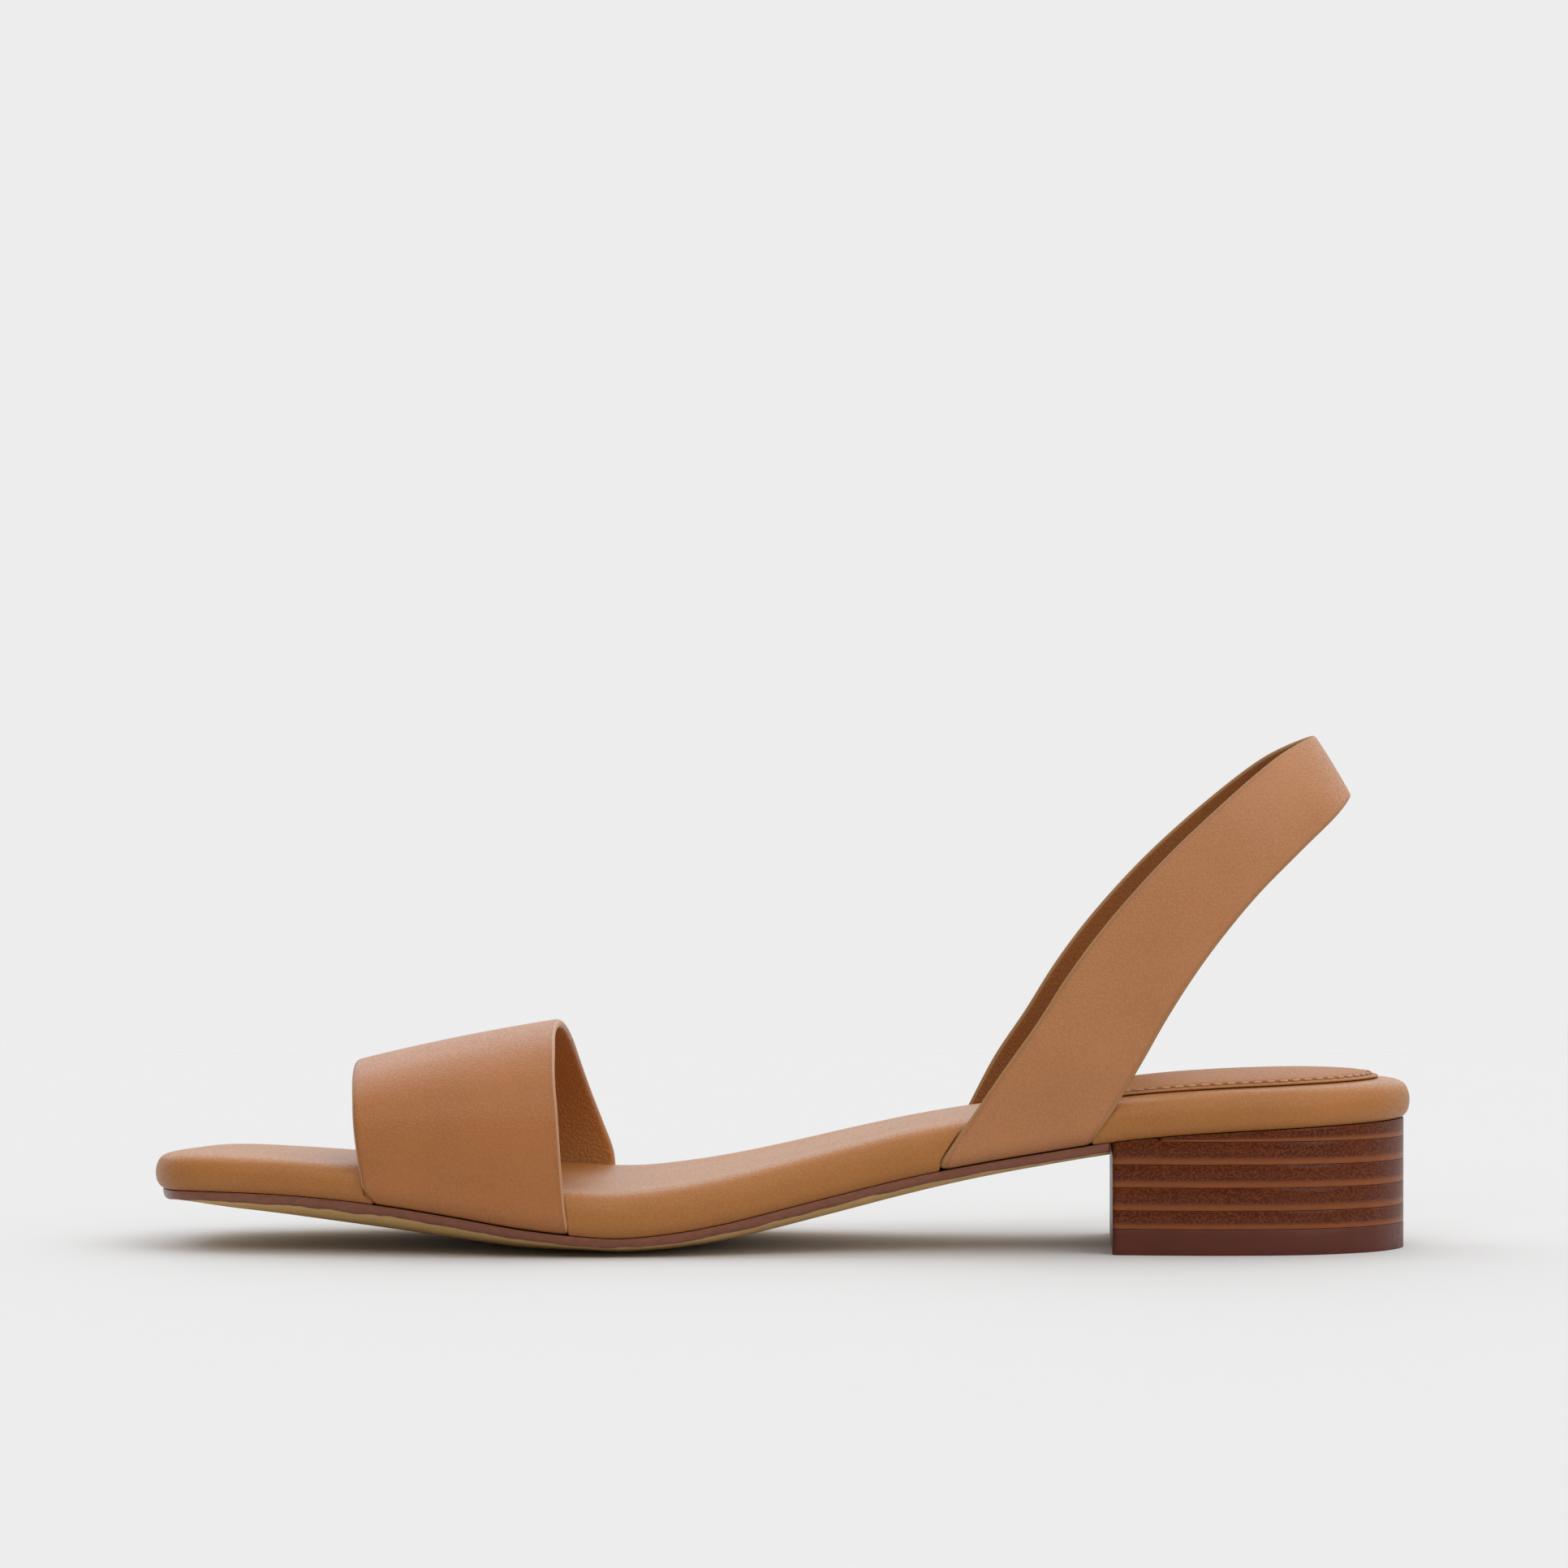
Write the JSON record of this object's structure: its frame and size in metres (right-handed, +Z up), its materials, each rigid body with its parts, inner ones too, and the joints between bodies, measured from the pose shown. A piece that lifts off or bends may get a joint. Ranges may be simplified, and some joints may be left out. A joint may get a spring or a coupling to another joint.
{
  "type": "block heel sandal",
  "caption": "Tan leather slingback sandal for the right foot: padded footbed, wide front strap, tapered sling strap, thin outsole and a low stacked block heel.",
  "frame": {"origin": "on the floor, under the middle of the sandal's bounding box", "axes": "+X from the toe to the heel, +Y from the inner (medial) to the outer (lateral) side, +Z up"},
  "size_m": [0.2488, 0.0858, 0.1014],
  "materials": {
    "footbed_leather": "smooth tan leather over a soft pad, fine grain, semi-matt",
    "sock_leather": "smooth tan lining leather, semi-matt",
    "strap_leather": "smooth tan leather, fine grain, soft sheen",
    "outsole_leather": "beige buffed underside with a reddish-brown painted edge",
    "heel_stack": "polished stacked leather, reddish brown, with a lighter line at each lift",
    "heel_top_piece": "solid reddish brown, satin"
  },
  "bodies": {
    "root": {"footbed": "footbed_leather", "heel_sock": "sock_leather", "outsole": "outsole_leather", "front_strap": "strap_leather", "sling_strap": "strap_leather", "heel_top_piece": "heel_top_piece", "heel_lift_1": "heel_stack", "heel_lift_2": "heel_stack", "heel_lift_3": "heel_stack", "heel_lift_4": "heel_stack", "heel_wedge": "heel_stack"}
  },
  "joints": []
}
